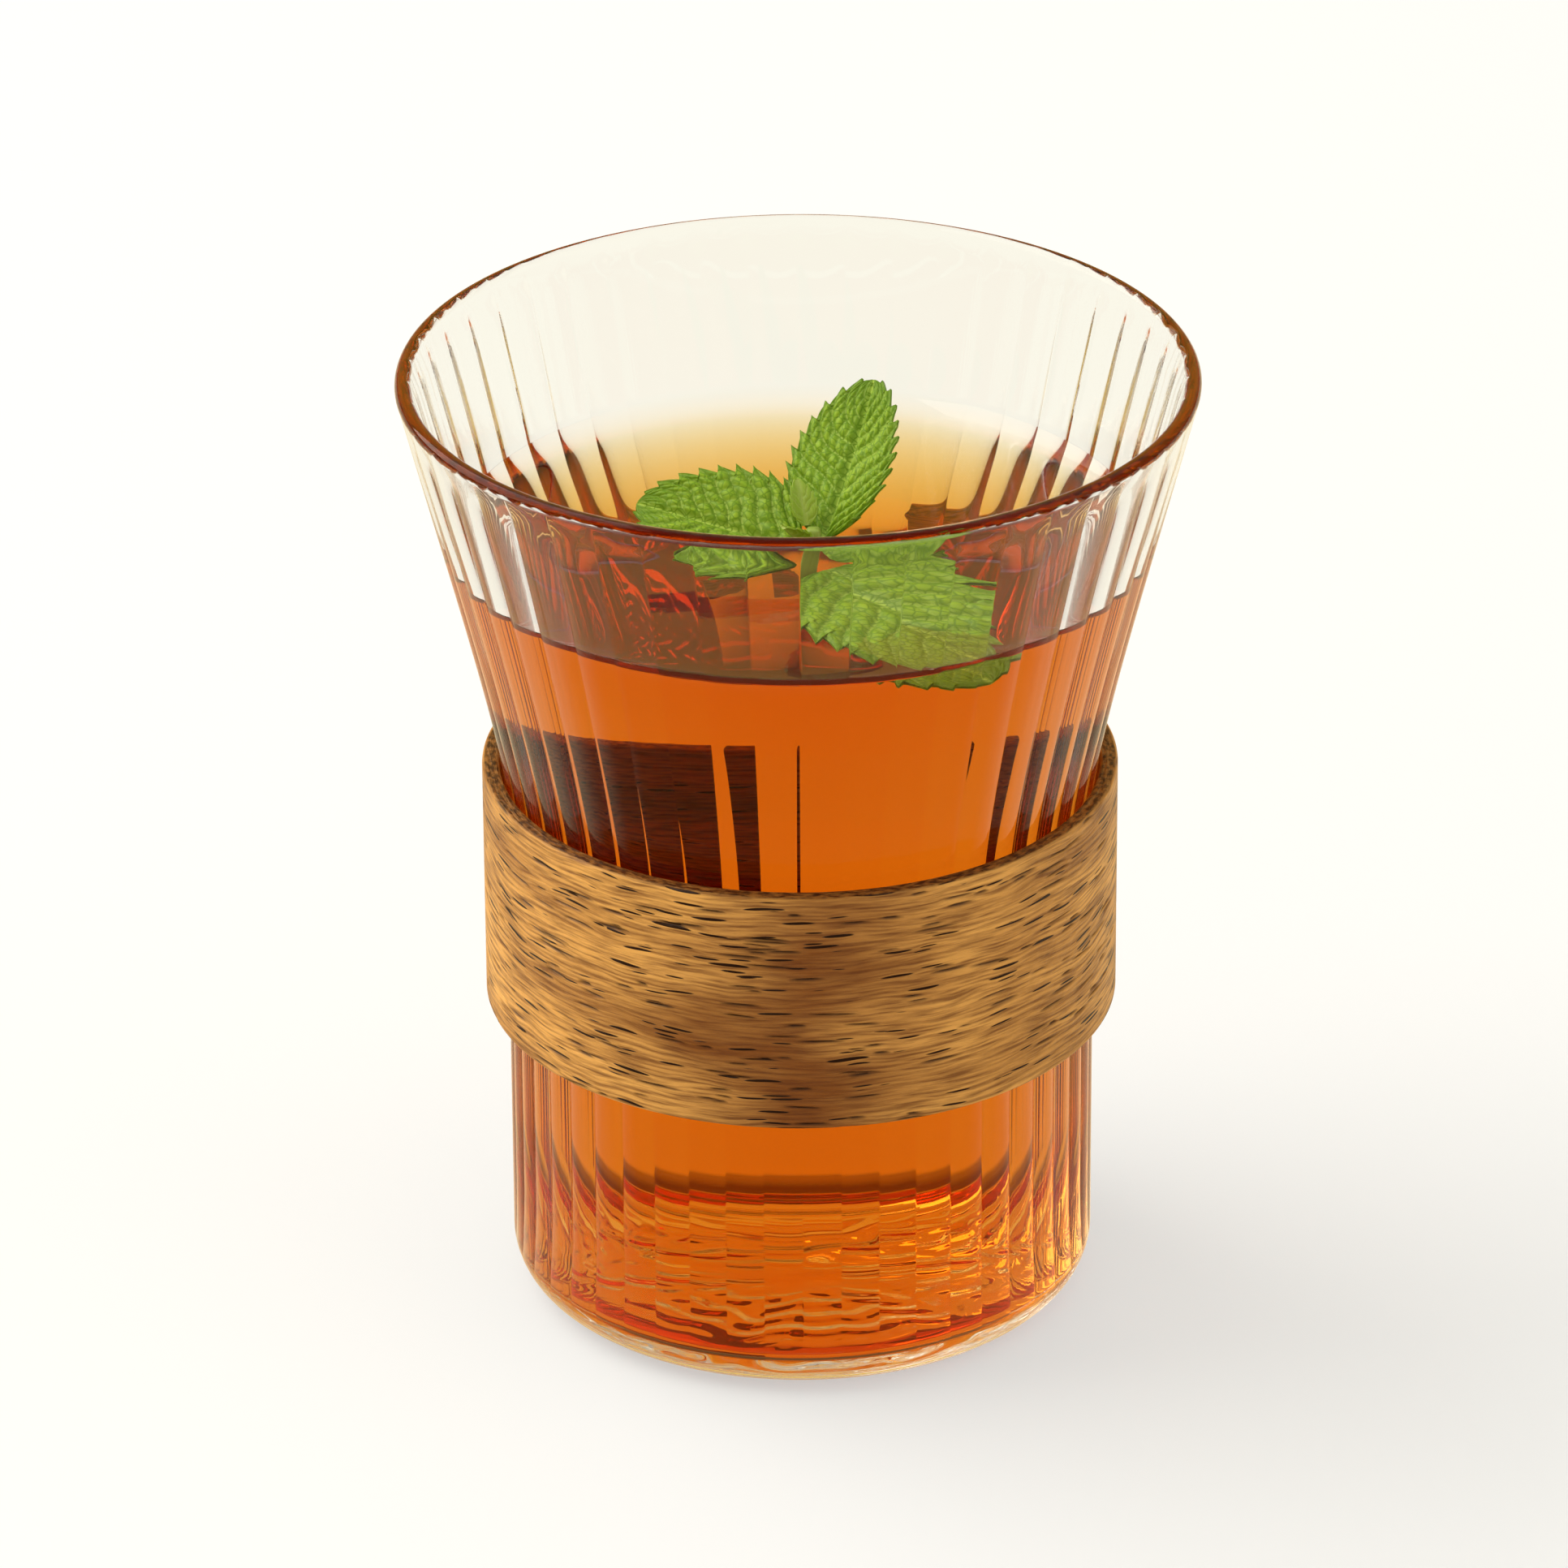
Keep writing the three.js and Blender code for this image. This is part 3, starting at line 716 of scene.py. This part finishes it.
# The left leaf
# The second leaf of the pair, lying out to the left just over the tea.
# It is the same kind of leaf, set a little lower beside the stem.
surface = leaf_surface(
    length=18.5 * MM,
    width=15.2 * MM,
    base=0.65,
    fold=13,
    curl=0.8 * MM,
    teeth=10,
    side_veins=10,
    swell=0.45 * MM,
    phase=2.1,
    rows=180,
    columns=121,
)
left_leaf = mint_leaf(
    "left_mint_leaf", surface, height=1.9 * MM, heading=158, rise=9, roll=-27, thickness=LEAF_BLADE
)
left_leaf.data.materials.append(leaf_green)
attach(left_leaf, "sprig")
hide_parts("mint_leaf_left")


# The right leaf
# The largest leaf, lying out to the right and towards the viewer, with its near edge under the tea.
# It is the oldest of the three, and lowest beside the stem.
surface = leaf_surface(
    length=24 * MM,
    width=20.5 * MM,
    base=0.72,
    fold=6,
    curl=0.8 * MM,
    teeth=11,
    side_veins=11,
    swell=0.42 * MM,
    phase=4.0,
    rows=190,
    columns=121,
)
right_leaf = mint_leaf(
    "right_mint_leaf", surface, height=1 * MM, heading=-46.5, rise=-9, roll=9, thickness=LEAF_BLADE
)
right_leaf.data.materials.append(leaf_green)
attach(right_leaf, "sprig")
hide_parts("mint_leaf_right")


# The bud leaves
# Two small pale leaves that are still folding open at the growing tip of the sprig.
# They stand above the large ones.
BUD_BLADE = 0.25 * MM
surface = leaf_surface(
    length=5.5 * MM,
    width=3.6 * MM,
    base=0.75,
    fold=18,
    curl=0.8 * MM,
    teeth=6,
    side_veins=5,
    swell=0.12 * MM,
    phase=0.9,
    rows=60,
    columns=41,
)
front_bud = mint_leaf(
    "front_mint_bud_leaf", surface, height=3.6 * MM, heading=240, rise=50, roll=0, thickness=BUD_BLADE
)
surface = leaf_surface(
    length=5 * MM,
    width=3.2 * MM,
    base=0.75,
    fold=18,
    curl=0.6 * MM,
    teeth=6,
    side_veins=5,
    swell=0.12 * MM,
    phase=3.3,
    rows=60,
    columns=41,
)
back_bud = mint_leaf(
    "back_mint_bud_leaf", surface, height=4 * MM, heading=110, rise=62, roll=0, thickness=BUD_BLADE
)

# Young mint leaf: paler and yellower than the grown leaves.
bud_green, tree = new_material("young_mint_leaf")
veins = add(tree, "ShaderNodeAttribute", attribute_name="vein")
bud_colour = add(tree, "ShaderNodeMix", {
    "Factor": veins.outputs["Fac"], "A": linear("#8FAE1E"), "B": linear("#B3C95C"),
}, data_type="RGBA")
shader = add(tree, "ShaderNodeBsdfPrincipled", {
    "Base Color": bud_colour.outputs["Result"],
    "Roughness": 0.45,
    "Subsurface Weight": 0.2,
    "Subsurface Radius": (0.5, 0.8, 0.1),
    "Subsurface Scale": 0.0006,
})
add(tree, "ShaderNodeOutputMaterial", {"Surface": shader.outputs["BSDF"]})
front_bud.data.materials.append(bud_green)
back_bud.data.materials.append(bud_green)
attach(front_bud, "sprig")
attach(back_bud, "sprig")
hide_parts("mint_bud_leaf_front")
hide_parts("mint_bud_leaf_back")


# The stage
# A pale table top that runs on behind the glass, large soft lamps, and the photograph's camera.
# Glass shows what is round it, so the table and the room have colours of their own for it, and under the
# glass the table shows it a painted shadow.
FLOOR_DROP = 0.05 * MM
BROWN_TO = -45 * MM
# Seen through the glass, the painted shadow under it is full inside this radius and gone beyond the next.
PAINTED_SHADOW_FULL = 32 * MM
PAINTED_SHADOW_GONE = 37.5 * MM
floor = mesh_piece(
    "table_top",
    np.array([[-6, -3, 0], [6, -3, 0], [6, 12, 0], [-6, 12, 0]]) - [0, 0, FLOOR_DROP],
    np.array([[0, 1, 2, 3]]),
)
white_top, tree = new_material("white_table_top")
shader = add(tree, "ShaderNodeBsdfPrincipled", {"Base Color": linear("#FBFAF6"), "Roughness": 0.6})
# To the camera it is lit, with white added to it, so that the shadow stays and the table is white.
path = add(tree, "ShaderNodeLightPath")
white = add(tree, "ShaderNodeEmission", {"Color": linear("#FFFFFC"), "Strength": 1.0})
lightened = add(tree, "ShaderNodeMath", {0: path.outputs["Is Camera Ray"], 1: 0.5}, operation="MULTIPLY")
plain = add(tree, "ShaderNodeMixShader", {
    0: lightened.outputs["Value"], 1: shader.outputs["BSDF"], 2: white.outputs["Emission"],
})
# In a reflection it is brown in front of the glass and white at its sides.
place = add(tree, "ShaderNodeTexCoord")
across = add(tree, "ShaderNodeSeparateXYZ", {"Vector": place.outputs["Object"]})
at_side = add(tree, "ShaderNodeMapRange", {
    "Value": across.outputs["Y"], "From Min": BROWN_TO, "From Max": 0.0,
})
mirror_colour = add(tree, "ShaderNodeMix", {
    "Factor": at_side.outputs["Result"], "A": linear("#A86A24"), "B": linear("#FBE8BC"),
}, data_type="RGBA")
mirror = add(tree, "ShaderNodeEmission", {"Color": mirror_colour.outputs["Result"], "Strength": 1.0})
mirrored = add(tree, "ShaderNodeMixShader", {
    0: path.outputs["Is Glossy Ray"], 1: plain.outputs["Shader"], 2: mirror.outputs["Emission"],
})
# Through the glass it is white, and where the glass stands on it there is a painted shadow: a dark brown glow
# stands in for the table in the shade of the glass and the tea.
from_middle = add(tree, "ShaderNodeVectorMath", {0: place.outputs["Object"]}, operation="LENGTH")
clear = add(tree, "ShaderNodeMapRange", {
    "Value": from_middle.outputs["Value"], "From Min": PAINTED_SHADOW_FULL, "From Max": PAINTED_SHADOW_GONE,
})
below_with_painted_shadow = add(tree, "ShaderNodeMix", {
    "Factor": clear.outputs["Result"], "A": linear("#5C4226"), "B": linear("#FCFAEE"),
}, data_type="RGBA")
below = add(tree, "ShaderNodeEmission", {"Color": below_with_painted_shadow.outputs["Result"], "Strength": 1.0})
seen = add(tree, "ShaderNodeMixShader", {
    0: path.outputs["Is Transmission Ray"], 1: mirrored.outputs["Shader"], 2: below.outputs["Emission"],
})
add(tree, "ShaderNodeOutputMaterial", {"Surface": seen.outputs["Shader"]})
floor.data.materials.append(white_top)

scene = bpy.context.scene
scene.view_settings.view_transform = "Standard"
scene.cycles.max_bounces = 32
scene.cycles.glossy_bounces = 32
scene.cycles.transmission_bounces = 32
scene.cycles.transparent_max_bounces = 16

world = bpy.data.worlds.new("studio")
world.use_nodes = True
world.node_tree.nodes.clear()
tree = world.node_tree
sky = add(tree, "ShaderNodeBackground", {"Color": linear("#F6F6F4"), "Strength": 0.55})
# Glass shows a room that is red-brown along the horizon, which draws the lip, then cream, yellow,
# and white overhead. Z is the height of the direction looked in.
aim = add(tree, "ShaderNodeTexCoord")
parts = add(tree, "ShaderNodeSeparateXYZ", {"Vector": aim.outputs["Generated"]})
skirting = add(tree, "ShaderNodeMapRange", {"Value": parts.outputs["Z"], "From Min": 0.05, "From Max": 0.13})
low_wall = add(tree, "ShaderNodeMapRange", {"Value": parts.outputs["Z"], "From Min": 0.13, "From Max": 0.4})
overhead = add(tree, "ShaderNodeMapRange", {"Value": parts.outputs["Z"], "From Min": 0.5, "From Max": 0.85})
walls = add(tree, "ShaderNodeMix", {
    "Factor": low_wall.outputs["Result"], "A": linear("#D2AE68"), "B": linear("#F9CC52"),
}, data_type="RGBA")
lower_room = add(tree, "ShaderNodeMix", {
    "Factor": skirting.outputs["Result"], "A": linear("#C85418"), "B": walls.outputs["Result"],
}, data_type="RGBA")
room = add(tree, "ShaderNodeMix", {
    "Factor": overhead.outputs["Result"], "A": lower_room.outputs["Result"], "B": linear("#FFFDF6"),
}, data_type="RGBA")
shown = add(tree, "ShaderNodeBackground", {"Color": room.outputs["Result"], "Strength": 1.0})
path = add(tree, "ShaderNodeLightPath")
bent = add(tree, "ShaderNodeMath", {
    0: path.outputs["Is Transmission Ray"], 1: path.outputs["Is Glossy Ray"],
}, operation="MAXIMUM")
seen = add(tree, "ShaderNodeMixShader", {
    0: bent.outputs["Value"], 1: sky.outputs["Background"], 2: shown.outputs["Background"],
})
add(tree, "ShaderNodeOutputWorld", {"Surface": seen.outputs["Shader"]})
scene.world = world


def soft_lamp(name, place, target, width, height, watts, colour):
    """A flat lamp of that size, turned to face a target."""
    lamp = bpy.data.lights.new(name, "AREA")
    lamp.shape = "RECTANGLE"
    lamp.size = width
    lamp.size_y = height
    lamp.energy = watts
    lamp.color = linear(colour)[:3]
    made = bpy.data.objects.new(name, lamp)
    made.location = place
    made.rotation_euler = (Vector(target) - Vector(place)).to_track_quat("-Z", "Y").to_euler()
    scene.collection.objects.link(made)


soft_lamp("key_lamp", (-1.1, 0.35, 1.05), (0, 0, 0.05), 1.6, 1.6, 25, "#FFFCF6")
soft_lamp("fill_lamp", (1.1, -0.35, 0.8), (0, 0, 0.05), 1.3, 1.3, 3.5, "#FFFCF6")

# The camera is a long lens from the front, looking down at the glass, as measured from the photograph.
PHOTO_SIDE = 1932
FOCAL_PIXELS = 12000
CAMERA_DISTANCE = 1058.66 * MM
CAMERA_DOWN = math.radians(26.524)
CAMERA_ROLL = math.radians(-0.335)
AIM_HEIGHT = 58.3 * MM
AIM_LEFT = 1.747 * MM
camera = bpy.data.cameras.new("photo_camera")
camera.sensor_width = 36
camera.lens = 36 * FOCAL_PIXELS / PHOTO_SIDE
camera.clip_end = 100
camera_object = bpy.data.objects.new("photo_camera", camera)
camera_object.location = (
    -AIM_LEFT,
    -CAMERA_DISTANCE * math.cos(CAMERA_DOWN),
    AIM_HEIGHT + CAMERA_DISTANCE * math.sin(CAMERA_DOWN),
)
level = Euler((math.pi / 2 - CAMERA_DOWN, 0, 0)).to_matrix()
camera_object.rotation_euler = (level @ Matrix.Rotation(CAMERA_ROLL, 3, "Z")).to_euler()
scene.collection.objects.link(camera_object)
scene.camera = camera_object
